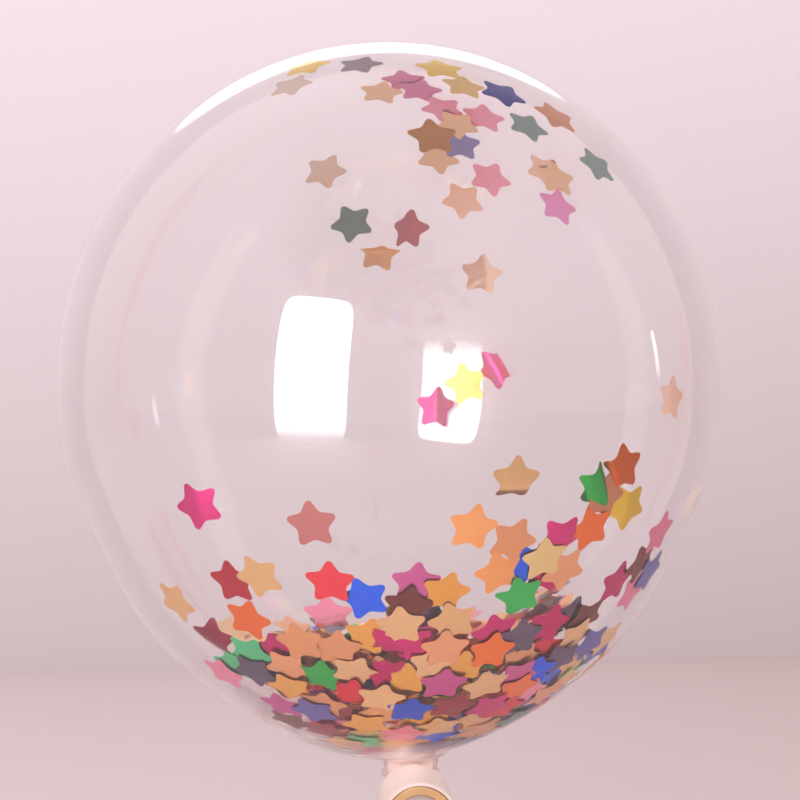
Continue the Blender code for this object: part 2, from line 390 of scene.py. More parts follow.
class BALLOON_OT_make_skin(bpy.types.Operator):
    """Makes the clear latex skin, with its neck and rolled bead"""

    bl_idname = "balloon.make_skin"
    bl_label = "Make Balloon Skin"

    def execute(self, context):
        sizes = context.scene.balloon_sizes
        outer = outer_profile(sizes)
        top = (0.0, BALLOON_HIGH.z, -sizes.lean)
        inner_top = (0.0, BALLOON_HIGH.z - sizes.skin_wall, -sizes.lean)
        profile = [top] + outer + bead_profile(sizes) + inner_profile(sizes, outer)[::-1] + [inner_top]
        outer_rings = len(outer) + len(bead_profile(sizes)) - 2
        mesh = bmesh.new()
        turned_rings(mesh, profile, SKIN_SIDES)
        data = finish_mesh(mesh, "clear_latex_skin")
        bands = len(NECK_BANDS)
        for band in range(bands + 1):
            share = (band / bands) ** BAND_EASE
            alpha = sizes.skin_alpha + (sizes.neck_alpha - sizes.skin_alpha) * share
            tint = mix_hex(sizes.skin_hex, sizes.neck_hex, share)
            name = f"dipped_latex_milky_{band}"
            milky = latex_material(name, tint, alpha, HAZE_ROUGHNESS, HAZE_INDEX, OUTER_COAT_INDEX)
            data.materials.append(milky)
        tint = linear(sizes.skin_hex)
        clear = latex_material("dipped_latex_clear", tint, sizes.gloss_alpha, 0.0, 1.0, INNER_COAT_INDEX)
        data.materials.append(clear)
        bottom = body_bottom(sizes)
        for face in data.polygons:
            band = sum(face.center.z < bottom + level for level in NECK_BANDS)
            outside = face.index // SKIN_SIDES < outer_rings
            face.material_index = band if outside or band > LAST_CLEAR_BAND else bands + 1
        skin = new_object("clear_latex_skin", data)
        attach(skin, BODY)
        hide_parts("balloon_envelope")
        return {"FINISHED"}


# Foil colours, each with the two tones that the film shows.
FOILS = {
    "champagne": ("F4CC98", "E8BC82"),
    "gold": ("F8BE5E", "EDAA44"),
    "peach": ("F5B484", "E7A26C"),
    "apricot": ("FFB66E", "F4A65C"),
    "beige": ("F6EAD8", "F0E0C8"),
    "blush": ("F8D4B4", "F2C4A2"),
    "crimson": ("CC2C3C", "AC2030"),
    "mauve": ("EC86C6", "DE74B4"),
    "orange": ("FA8438", "EA6C2C"),
    "rust": ("E07034", "CC5E28"),
    "red": ("F83C4A", "D42838"),
    "wine": ("B23C50", "8F2E40"),
    "magenta": ("E43A8C", "C41C66"),
    "pink": ("F8A0B8", "EA84A4"),
    "orchid": ("DE6CAC", "CC5A9A"),
    "blue": ("0068FF", "1A56DE"),
    "navy": ("14188C", "161A74"),
    "tan": ("DC966C", "C4845C"),
    "violet": ("7472BE", "625FA8"),
    "green": ("38CC60", "2CB44C"),
    "mint": ("6CE6A0", "58CE8C"),
    "teal": ("4E8C7C", "3E7868"),
    "slate": ("6E6078", "5A4E66"),
    "brown": ("863628", "702C22"),
    "copper": ("CC7E78", "BE726C"),
    "olive": ("E4C444", "D0AC34"),
    "straw": ("F2DA98", "E6C884"),
}


def foil_material(name, tones):
    """Metallised polyester film: a coloured lacquer over a mirror of aluminium, rolled, cut and
    slightly crumpled, so that it shines in soft broken patches."""
    material, tree, shader = new_material(f"metallised_film_{name}")
    place = add_node(tree, "ShaderNodeTexCoord")
    tone = add_node(tree, "ShaderNodeAttribute", attribute_name="tone").outputs["Fac"]
    # Soft tone changes about 9 mm across, on top of each star's own tone.
    patches = noise(tree, place, 110.0, 0.0)
    blend = math_node(tree, "MULTIPLY_ADD", patches, 0.45, tone, use_clamp=True)
    colours = mixed_colour(tree, blend, linear(tones[0]), linear(tones[1]))
    tree.links.new(colours, shader.inputs["Base Color"])
    # Crinkles about 4 mm apart, one or two tenths of a millimetre deep.
    bumped(tree, shader, noise(tree, place, 240.0, 0.0), 0.35, 0.0006)
    shader.inputs["Metallic"].default_value = 1.0
    shader.inputs["Roughness"].default_value = 0.3
    return material


# A star's outline: the degrees from a tip to the next valley, and as shares of its tip radius
# where its corners would meet and the radius that each is rounded with.
STAR_STEP = 36
TIP_CORNER = 1.165
VALLEY_CORNER = 0.625
TIP_RADIUS = 0.155
VALLEY_RADIUS = 0.243


def star_outline(tip_steps, valley_steps):
    """The outline of a plain five-point star with softly rounded tips and valleys."""
    corners = []
    for index in range(10):
        angle = math.radians(90 - STAR_STEP * index)
        radius = VALLEY_CORNER if index % 2 else TIP_CORNER
        corners.append(Vector((radius * math.cos(angle), radius * math.sin(angle))))
    points = []
    for index, corner in enumerate(corners):
        back = (corners[index - 1] - corner).normalized()
        onward = (corners[(index + 1) % 10] - corner).normalized()
        half = back.angle(onward) / 2
        cut = (VALLEY_RADIUS if index % 2 else TIP_RADIUS) / math.tan(half)
        steps = valley_steps if index % 2 else tip_steps
        for step in range(steps):
            # A circular arc as a rational curve that leaves and meets the two straight edges.
            t = step / (steps - 1)
            weights = ((1 - t) ** 2, 2 * t * (1 - t) * math.sin(half), t * t)
            pulls = (corner + back * cut, corner, corner + onward * cut)
            total = pulls[0] * weights[0] + pulls[1] * weights[1] + pulls[2] * weights[2]
            points.append(total / sum(weights))
    return points


def star_mesh(name, tip_steps, valley_steps, grid=None):
    """A thin star of unit tip radius and unit thickness, with its own flat place kept as an
    attribute. A grid cuts it finer, so that it can crease anywhere."""
    mesh = bmesh.new()
    outline = [mesh.verts.new((p.x, p.y, 0.0)) for p in star_outline(tip_steps, valley_steps)]
    if grid:
        mesh.faces.new(outline)
        cuts = int(1.1 / grid)
        for index in range(-cuts, cuts + 1):
            for normal in ((1, 0, 0), (0, 1, 0)):
                everything = mesh.verts[:] + mesh.edges[:] + mesh.faces[:]
                spot = Vector(normal) * grid * index
                bmesh.ops.bisect_plane(mesh, geom=everything, plane_co=spot, plane_no=normal, dist=1e-5)
    else:
        middle = mesh.verts.new((0.0, 0.0, 0.0))
        for index, corner in enumerate(outline):
            mesh.faces.new((middle, corner, outline[(index + 1) % len(outline)]))
    thick = bmesh.ops.extrude_face_region(mesh, geom=mesh.faces[:])
    moved = [item for item in thick["geom"] if isinstance(item, bmesh.types.BMVert)]
    bmesh.ops.translate(mesh, verts=moved, vec=(0, 0, 1))
    data = finish_mesh(mesh, name)
    flat = data.attributes.new("flat", "FLOAT_VECTOR", "POINT")
    for vertex in data.vertices:
        flat.data[vertex.index].vector = vertex.co
    return data


def wall_guide(sizes):
    """The inside of the skin as one open sheet, with the way inwards kept at each point."""
    inner = inner_profile(sizes, outer_profile(sizes))
    inner = [(0.0, BALLOON_HIGH.z - sizes.skin_wall, -sizes.lean)] + inner
    sides = 120
    places = []
    inwards = []
    for index, (radius, height, centre) in enumerate(inner):
        before = inner[max(0, index - 1)]
        after = inner[min(index + 1, len(inner) - 1)]
        slope = Vector((after[0] - before[0], after[1] - before[1])).normalized()
        if index == 0:
            slope = Vector((1.0, 0.0))
        for side in range(sides):
            angle = 2 * math.pi * side / sides
            out = Vector((math.cos(angle), math.sin(angle), 0.0))
            places.append(Vector((centre, 0.0, height)) + out * radius)
            inwards.append((out * slope.y + Vector((0.0, 0.0, -slope.x))).normalized())
    faces = []
    for index in range(len(inner) - 1):
        for side in range(sides):
            after = (side + 1) % sides
            low = index * sides
            faces.append((low + side, low + after, low + sides + after, low + sides + side))
    data = bpy.data.meshes.new("wall_guide")
    data.from_pydata(places, [], faces)
    kept = data.attributes.new("inward", "FLOAT_VECTOR", "POINT")
    for index, inward in enumerate(inwards):
        kept.data[index].vector = inward
    return data, BVHTree.FromPolygons(places, faces), inwards, faces


def confetti_tree():
    """Lays a foil star on the wall at each point: it puts the star in the point's own plane,
    folds or curls it, and drapes it on the wall at its own depth."""
    tree = bpy.data.node_groups.new("lay_foil_stars", "GeometryNodeTree")
    for name, kind in (
        ("Geometry", "Geometry"),
        ("Star", "Object"),
        ("Wall", "Object"),
        ("Star Width", "Float"),
        ("Foil Thickness", "Float"),
        ("Foil", "Material"),
    ):
        tree.interface.new_socket(name, in_out="INPUT", socket_type=f"NodeSocket{kind}")
    tree.interface.new_socket("Geometry", in_out="OUTPUT", socket_type="NodeSocketGeometry")
    given = add_node(tree, "NodeGroupInput").outputs

    def kept(name):
        kind = "GeometryNodeInputNamedAttribute"
        return add_node(tree, kind, {"Name": name}, data_type="FLOAT_VECTOR").outputs[0]

    def parts(vector):
        return add_node(tree, "ShaderNodeSeparateXYZ", {0: vector}).outputs

    def scaled(vector, factor):
        return vector_node(tree, "SCALE", {0: vector, "Scale": factor})

    def plus(first, second):
        return vector_node(tree, "ADD", {0: first, 1: second})

    star_shape = add_node(tree, "GeometryNodeObjectInfo", {"Object": given["Star"]}).outputs["Geometry"]
    wall = add_node(tree, "GeometryNodeObjectInfo", {"Object": given["Wall"]}).outputs["Geometry"]
    at_points = {"Points": given["Geometry"], "Instance": star_shape}
    laid = add_node(tree, "GeometryNodeInstanceOnPoints", at_points)
    real = add_node(tree, "GeometryNodeRealizeInstances", {"Geometry": laid.outputs[0]})

    flat = parts(kept("flat"))
    radius = math_node(tree, "MULTIPLY", given["Star Width"], 0.5)
    x = math_node(tree, "MULTIPLY", flat[0], radius)
    y = math_node(tree, "MULTIPLY", flat[1], radius)
    axis = parts(kept("fold_axis"))
    shape = parts(kept("shape"))
    lay = parts(kept("lay"))
    # How far a point is along the direction that the star folds or curls in.
    reach = math_node(tree, "MULTIPLY_ADD", x, axis[0], math_node(tree, "MULTIPLY", y, axis[1]))
    # Curl: the star bends round a cylinder of radius 1 / curl.
    turn = math_node(tree, "MULTIPLY", reach, shape[2])
    curled = math_node(tree, "DIVIDE", math_node(tree, "SINE", turn), shape[2])
    bowed = math_node(tree, "SUBTRACT", 1.0, math_node(tree, "COSINE", turn))
    lift = math_node(tree, "DIVIDE", bowed, shape[2])
    # Fold: what lies past the crease turns up off the wall.
    past = math_node(tree, "MAXIMUM", math_node(tree, "SUBTRACT", reach, shape[1]), 0.0)
    lift = math_node(tree, "MULTIPLY_ADD", past, math_node(tree, "SINE", shape[0]), lift)
    shorter = math_node(tree, "SUBTRACT", 1.0, math_node(tree, "COSINE", shape[0]))
    shift = math_node(tree, "SUBTRACT", curled, reach)
    shift = math_node(tree, "SUBTRACT", shift, math_node(tree, "MULTIPLY", past, shorter))
    x_moved = math_node(tree, "MULTIPLY_ADD", shift, axis[0], x)
    y_moved = math_node(tree, "MULTIPLY_ADD", shift, axis[1], y)
    spot = plus(scaled(kept("across"), x_moved), scaled(kept("along"), y_moved))
    spot = plus(spot, kept("centre"))
    # Depth off the wall: the point's own, its lean, the lift, and never less than the foil.
    depth = math_node(tree, "MULTIPLY_ADD", lay[1], x, lay[0])
    depth = math_node(tree, "MULTIPLY_ADD", lay[2], y, depth)
    depth = math_node(tree, "MAXIMUM", math_node(tree, "ADD", depth, lift), given["Foil Thickness"])
    side = math_node(tree, "MULTIPLY", math_node(tree, "SUBTRACT", flat[2], 0.5), axis[2])
    depth = math_node(tree, "MULTIPLY_ADD", side, given["Foil Thickness"], depth)
    touch = add_node(tree, "GeometryNodeProximity", {0: wall, "Sample Position": spot})
    inward = add_node(
        tree,
        "GeometryNodeSampleNearestSurface",
        {"Mesh": wall, "Value": kept("inward"), "Sample Position": spot},
        data_type="FLOAT_VECTOR",
    )
    draped = plus(touch.outputs["Position"], scaled(inward.outputs[0], depth))
    moved = add_node(tree, "GeometryNodeSetPosition", {"Geometry": real.outputs[0], "Position": draped})
    in_foil = {"Geometry": moved.outputs[0], "Material": given["Foil"]}
    dressed = add_node(tree, "GeometryNodeSetMaterial", in_foil)
    add_node(tree, "NodeGroupOutput", {"Geometry": dressed.outputs[0]})
    return tree


def star(foil, across, down, turn, fold=None, curl=None, tone=None):
    """One star: its foil, its middle in the photograph's pixels across and down, and how far one
    tip turns clockwise from upright, in degrees. fold is (direction, millimetres from the middle,
    angle), curl is (direction, radius in millimetres), and tone runs from 0, light, to 1, dark."""
    return dict(foil=foil, across=across, down=down, turn=turn, fold=fold, curl=curl, tone=tone)


# Stars of the pile that show, from the outermost inwards, which is mostly from the lowest up.
PILE_STARS = (
    star("champagne", 344, 744, 10),
    star("mint", 363, 744, -20),
    star("pink", 403, 735, 10),
    star("wine", 325, 732, -30),
    star("champagne", 438, 729, -20),
    star("peach", 477, 731, 14),
    star("gold", 366, 725, -22),
    star("brown", 290, 723, -10),
    star("teal", 516, 718, 20),
    star("violet", 314, 712, -12),
    star("blue", 410, 711, 5, tone=1.0),
    star("orchid", 282, 707, 12),
    star("wine", 453, 707, 12),
    star("magenta", 489, 707, 24),
    star("peach", 323, 706, 20),
    star("champagne", 381, 699, 16),
    star("red", 351, 696, 20, curl=(300, 14)),
    star("peach", 546, 694, 0),
    star("gold", 290, 690, -8),
    star("orange", 518, 690, 0),
    star("champagne", 486, 687, -22),
    star("orchid", 443, 685, 2),
    star("champagne", 563, 684, -20),
    star("green", 320, 679, 15, curl=(250, 30)),
    star("orchid", 518, 677, 20),
    star("slate", 254, 674, -18),
    star("pink", 224, 674, 30),
    star("magenta", 385, 675, -18, curl=(120, 12), tone=1.0),
    star("champagne", 354, 675, 30),
    star("blue", 536, 674, -14),
    star("peach", 287, 669, -24),
    star("mint", 234, 668, 14),
    star("peach", 522, 663, 10),
    star("slate", 560, 661, 30),
    star("mint", 249, 655, -31),
    star("orange", 492, 652, 0, tone=0.0),
    star("peach", 337, 651, 12),
    star("peach", 445, 650, -4),
    star("violet", 591, 645, 28),
    star("magenta", 393, 645, 22, curl=(20, 11), tone=0.6),
    star("peach", 300, 643, -5),
    star("champagne", 607, 641, 20),
    star("champagne", 577, 639, 8),
    star("slate", 521, 639, -10),
    star("gold", 368, 640, 15),
    star("magenta", 496, 634, -20),
    star("magenta", 550, 626, 4),
    star("champagne", 401, 627, -5),
    star("champagne", 453, 623, -20, tone=1.0),
    star("brown", 587, 620, 24),
    star("slate", 572, 618, 0),
    star("brown", 408, 608, 10),
    star("gold", 446, 594, 14),
    star("orchid", 416, 585, 5),
)

# How far from the neck's axis the middles of the lowest stars stay, in metres.
NECK_CLEARANCE = 0.032

# The bare strip of skin low on the left lies below a line through this pixel.
BARE_ACROSS = 205
BARE_DOWN = 634
BARE_SLOPE = 0.75

# How far down the middles of the pile's nearest stars go, how often a place for one is tried,
# and how many of a star's eleven places may be covered already where it fills a gap.
PILE_LOWEST = 752
STREWN_TRIES = 4000
GAP_TRIES = 2600
GAP_COVERED = 5

# The rest of the pile: how far below the widest level it is looked for and starts, how much
# that level tips and strays, and the radius that thins it out towards the neck, in metres.
FAR_HIGHEST = 0.100
FAR_RIM = 0.124
FAR_RIM_TIP = 0.015
FAR_RIM_STRAY = 0.003
FAR_WIDEST = 0.125

# A laid star's steepest lean, the slight curl per metre of one without another, and how often
# a loose one curls more.
STEEPEST_LEAN = 0.3
SLIGHT_CURL = 0.5
CURL_CHANCE = 0.2

# The radii in millimetres that loose stars curl to, how far one may fall out of turn, in
# metres, and the darkest tone that falls to a star without its own.
CURL_RADII = (18, 50)
FALL_STRAY = 0.004
DARKEST_LOOSE = 0.75

# Where a star is felt for others, as shares of its tip radius: just inside its tips and its
# valleys, how much wider than its outline it counts, and how far away another can touch it.
# It starts this many foils off the skin.
NEAR_TIP = 0.92
NEAR_VALLEY = 0.55
COVER_MARGIN = 1.04
NEIGHBOUR_REACH = 2.1
LOWEST_FOILS = 1.5

# The upper edge that the middles of the pile's nearest stars keep below, in the same pixels.
PILE_RIM = (
    (196, 662),
    (225, 662),
    (262, 656),
    (300, 648),
    (350, 650),
    (380, 634),
    (408, 612),
    (455, 618),
    (478, 644),
    (515, 648),
    (550, 634),
    (590, 628),
    (620, 646),
    (640, 650),
)

# Scattered stars on the near side, again from the outermost inwards.
NEAR_STARS = (
    star("magenta", 197, 507, -20, fold=(85, 0.4, 24)),
    star("copper", 312, 525, -4),
    star("champagne", 176, 602, -32),
    star("champagne", 259, 577, -19, tone=0.9),
    star("crimson", 232, 583, 3, tone=0.3),
    star("orange", 248, 620, 24),
    star("wine", 213, 640, 18, curl=(40, 14)),
    star("pink", 329, 616, 1, fold=(165, 0.2, 20), tone=0.0),
    star("red", 330, 583, 3, tone=0.0),
    star("blue", 364, 599, -18, fold=(270, 4.6, 22), tone=0.0),
    star("champagne", 516, 481, 2, fold=(180, 3.4, 42)),
    star("apricot", 473, 528, 9, tone=0.0),
    star("peach", 513, 541, 21),
    star("apricot", 499, 573, -21, fold=(80, 2.0, 7)),
    star("green", 520, 597, -24, fold=(235, 3.0, 26), tone=0.2),
    star("straw", 545, 560, -12, tone=0.1),
    star("magenta", 563, 539, 24, curl=(290, 26)),
    star("peach", 565, 571, 27),
    star("blue", 529, 566, -30),
    star("magenta", 547, 574, 0),
    star("rust", 624, 468, -14, fold=(235, 5.0, 60)),
    star("green", 601, 487, 0, curl=(60, 8), tone=1.0),
    star("orange", 592, 530, -25),
    star("tan", 607, 498, 10),
    star("olive", 629, 508, 30, fold=(265, 0.4, 30), tone=0.0),
    star("pink", 660, 533, -10, tone=1.0),
    star("violet", 650, 572, 8),
    star("brown", 642, 563, 30),
    star("pink", 633, 592, 14),
    star("magenta", 618, 583, -6, tone=1.0),
    star("tan", 433, 136, -3),
    star("navy", 503, 93, -20),
    star("olive", 440, 68, 4),
    star("olive", 307, 66, -10),
    star("tan", 556, 116, 12),
)

# Scattered stars on the far side, which the skin's haze pales.
FAR_STARS = (
    star("beige", 325, 171, 17, tone=1.0),
    star("teal", 352, 223, -30),
    star("crimson", 408, 228, 14, fold=(270, 0.5, 48)),
    star("gold", 379, 252, 8, fold=(0, 0.6, 50), tone=0.0),
    star("blush", 482, 274, 13, fold=(270, -2.6, 12), tone=0.0),
    star("blush", 463, 200, -23, tone=1.0),
    star("pink", 490, 178, -33),
    star("blush", 546, 171, -16),
    star("champagne", 557, 177, 20),
    star("mauve", 559, 205, 30),
    star("teal", 528, 126, -18),
    star("teal", 597, 165, 10, tone=0.0),
    star("pink", 484, 117, 26),
    star("orchid", 404, 80, 0),
    star("orchid", 420, 89, 24),
    star("pink", 443, 107, -14),
    star("champagne", 381, 90, 8),
    star("olive", 464, 86, 30),
    star("slate", 360, 64, 0, tone=0.0),
    star("champagne", 438, 157, 36),
    star("violet", 460, 143, 12),
    star("champagne", 458, 122, -20),
    star("blush", 672, 398, 10),
    star("beige", 692, 501, -12),
    star("beige", 291, 85, -12),
    star("magenta", 437, 408, 6, fold=(90, 0.0, 24)),
    star("gold", 466, 384, -14, tone=0.0),
    star("magenta", 497, 368, 30, curl=(60, 6), tone=0.0),
)

# How often each foil turns up in the rest of the pile.
PILE_MIX = {
    "champagne": 20,
    "gold": 22,
    "peach": 17,
    "orange": 8,
    "rust": 2,
    "red": 6,
    "wine": 3,
    "magenta": 9,
    "pink": 6,
    "orchid": 6,
    "blue": 5,
    "violet": 5,
    "green": 4,
    "mint": 4,
    "slate": 3,
    "brown": 2,
}


class LaidStar:
    """A star that has its place on the wall, its plane and its depth."""

    def __init__(self, plan, spot, inward, up, right):
        turn = math.radians(plan["turn"])
        upright = (up - inward * up.dot(inward)).normalized()
        sideways = (right - inward * right.dot(inward) - upright * right.dot(upright)).normalized()
        self.foil = plan["foil"]
        self.spot = spot
        self.along = upright * math.cos(turn) + sideways * math.sin(turn)
        self.across = sideways * math.cos(turn) - upright * math.sin(turn)
        self.side = 1.0 if self.across.cross(self.along).dot(inward) > 0 else -1.0
        self.tone = plan["tone"]
        self.lay = (0.0, 0.0, 0.0)
        self.shape = (0.0, 0.0, SLIGHT_CURL)
        self.axis = (1.0, 0.0)
        for key in ("fold", "curl"):
            if plan[key]:
                direction = math.radians(plan[key][0]) - turn
                self.axis = (math.sin(direction), math.cos(direction))
        if plan["fold"]:
            self.shape = (math.radians(plan["fold"][2]), plan["fold"][1] / 1000, SLIGHT_CURL)
        if plan["curl"]:
            self.shape = (0.0, 0.0, 1000 / plan["curl"][1])

    def place(self, x, y):
        return self.spot + self.across * x + self.along * y

    def depth_at(self, point, radius):
        """How deep the star lies at a point that it covers, or None if it doesn't."""
        off = point - self.spot
        x = off.dot(self.across)
        y = off.dot(self.along)
        angle = (math.degrees(math.atan2(x, y)) + STAR_STEP) % (2 * STAR_STEP) - STAR_STEP
        angle = math.radians(abs(angle))
        step = math.radians(STAR_STEP)
        edge = VALLEY_CORNER * math.sin(step)
        edge /= VALLEY_CORNER * math.sin(angle) + math.sin(step - angle)
        if math.hypot(x, y) > radius * edge * COVER_MARGIN:
            return None
        return self.lay[0] + self.lay[1] * x + self.lay[2] * y


def sample_places(radius):
    """Eleven places on a star: its middle, its tips and its valleys."""
    samples = [(0.0, 0.0)]
    for index in range(10):
        angle = math.radians(STAR_STEP * index)
        reach = radius * (NEAR_VALLEY if index % 2 else NEAR_TIP)
        samples.append((reach * math.sin(angle), reach * math.cos(angle)))
    return samples


def settle(new, laid, radius, gap, floor):
    """Leans a star on those already laid: its plane passes just over all that it covers."""
    near = [other for other in laid if (other.spot - new.spot).length < NEIGHBOUR_REACH * radius]
    samples = sample_places(radius)
    needs = []
    for x, y in samples:
        point = new.place(x, y)
        depths = [other.depth_at(point, radius) for other in near]
        needs.append(max([depth + gap for depth in depths if depth is not None], default=floor))
    middle = sum(needs) / len(needs)
    spread = sum(x * x for x, _ in samples)
    lean_x = sum(need * x for need, (x, _) in zip(needs, samples)) / spread
    lean_y = sum(need * y for need, (_, y) in zip(needs, samples)) / spread
    lean_x = max(-STEEPEST_LEAN, min(STEEPEST_LEAN, lean_x))
    lean_y = max(-STEEPEST_LEAN, min(STEEPEST_LEAN, lean_y))
    short = max(need - middle - lean_x * x - lean_y * y for need, (x, y) in zip(needs, samples))
    new.lay = (middle + max(0.0, short), lean_x, lean_y)


def camera_axes(stage, balloon):
    """The camera's place and its right, up and forward directions."""
    middle = Vector((-balloon.lean, 0.0, widest_level(balloon)))
    back = Vector(
        (
            -math.sin(stage.left) * math.cos(stage.above),
            -math.cos(stage.left) * math.cos(stage.above),
            math.sin(stage.above),
        )
    )
    right = Vector((-back.y, back.x, 0.0)).normalized()
    up = back.cross(right)
    focal = stage.lens / 36 * FRAME_SIDE
    aside = right * (FRAME_SIDE / 2 - BALLOON_ACROSS) / focal
    lower = up * (FRAME_SIDE / 2 - BALLOON_DOWN) / focal
    forward = -back + aside - lower
    forward.normalize()
    right = forward.cross(Vector((0.0, 0.0, 1.0))).normalized()
    return middle + back * stage.distance, right, right.cross(forward), forward


def spot_on_wall(tree, stage, balloon, across, down, far, missing=False):
    """The point of the near or far wall that a pixel of the photograph shows."""
    eye, right, up, forward = camera_axes(stage, balloon)
    focal = stage.lens / 36 * FRAME_SIDE
    ray = forward * focal + right * (across - FRAME_SIDE / 2) - up * (down - FRAME_SIDE / 2)
    ray.normalize()
    hit, _, index, _ = tree.ray_cast(eye, ray)
    if hit is None:
        if missing:
            return None, None
        raise RuntimeError(f"no wall at pixel {across}, {down}")
    if far:
        second, _, second_index, _ = tree.ray_cast(hit + ray * 0.001, ray)
        if second is not None:
            hit, index = second, second_index
    return hit, index


def pixel_of(point, stage, balloon):
    """Where a point stands in the photograph, in pixels."""
    eye, right, up, forward = camera_axes(stage, balloon)
    focal = stage.lens / 36 * FRAME_SIDE
    off = point - eye
    scale = focal / off.dot(forward)
    return FRAME_SIDE / 2 + off.dot(right) * scale, FRAME_SIDE / 2 - off.dot(up) * scale


def has_room(spot, stage, balloon):
    """Whether a loose star may lie here: clear of the neck, and of the bare strip of skin that
    shows between the pile and the balloon's outline low on the left."""
    if math.hypot(spot.x, spot.y) < NECK_CLEARANCE:
        return False
    across, down = pixel_of(spot, stage, balloon)
    return down < BARE_DOWN + (across - BARE_ACROSS) * BARE_SLOPE


def pile_rim(across):
    """How far down the pile's upper edge is in the photograph at a pixel column."""
    for (left, left_down), (right, right_down) in zip(PILE_RIM, PILE_RIM[1:]):
        if across <= right:
            share = (across - left) / (right - left)
            return left_down + (right_down - left_down) * share
    return PILE_RIM[-1][1]


def near_pile_spots(rng, tree, stage, balloon, spacing):
    """Evenly strewn places on the part of the wall that the pile covers towards the camera."""
    spots = []
    for _ in range(STREWN_TRIES):
        across = rng.uniform(PILE_RIM[0][0], PILE_RIM[-1][0])
        down = rng.uniform(pile_rim(across), PILE_LOWEST)
        spot, index = spot_on_wall(tree, stage, balloon, across, down, False, missing=True)
        if spot is None or not has_room(spot, stage, balloon):
            continue
        if all((spot - other).length > spacing for other, _ in spots):
            spots.append((spot, index))
    return spots


def fill_gaps(rng, laid, pick, tree, stage, balloon, sizes, inwards, faces, axes):
    """Lays stars on the near wall where little of them is covered by those already there, until
    the pile's near side shows no bare wall."""
    radius = sizes.star_width / 2
    for _ in range(GAP_TRIES):
        across = rng.uniform(PILE_RIM[0][0], PILE_RIM[-1][0])
        down = rng.uniform(pile_rim(across), PILE_LOWEST)
        spot, index = spot_on_wall(tree, stage, balloon, across, down, False, missing=True)
        if spot is None or not has_room(spot, stage, balloon):
            continue
        plan = star(pick(), 0, 0, rng.uniform(-STAR_STEP, STAR_STEP))
        new = LaidStar(plan, spot, Vector(inwards[faces[index][0]]), *axes)
        near = [other for other in laid if (other.spot - spot).length < NEIGHBOUR_REACH * radius]
        covered = 0
        for x, y in sample_places(radius):
            point = new.place(x, y)
            covered += any(other.depth_at(point, radius) is not None for other in near)
        if covered <= GAP_COVERED:
            new.fine = False
            settle(new, laid, radius, sizes.layer_gap, LOWEST_FOILS * sizes.foil_thickness)
            laid.append(new)


def far_pile_spots(rng, tree, stage, balloon, count):
    """Loose places on the rest of the wall that the pile covers, lower towards the back."""
    level = widest_level(balloon)
    spots = []
    while len(spots) < count:
        angle = rng.uniform(-0.2 * math.pi, 1.2 * math.pi)
        rim = FAR_RIM + FAR_RIM_TIP * math.sin(angle) + rng.gauss(0, FAR_RIM_STRAY)
        drop = rng.uniform(FAR_HIGHEST, balloon.body_depth - 0.001)
        radius = envelope_radius(balloon, level - drop)
        if drop > rim and rng.uniform(0, FAR_WIDEST) < radius:
            out = Vector((math.cos(angle), math.sin(angle), 0.0))
            aim = Vector((envelope_centre(balloon, level - drop), 0.0, level - drop)) + out * radius
            spot, _, index, _ = tree.find_nearest(aim)
            if has_room(spot, stage, balloon):
                spots.append((spot, index))
    return spots


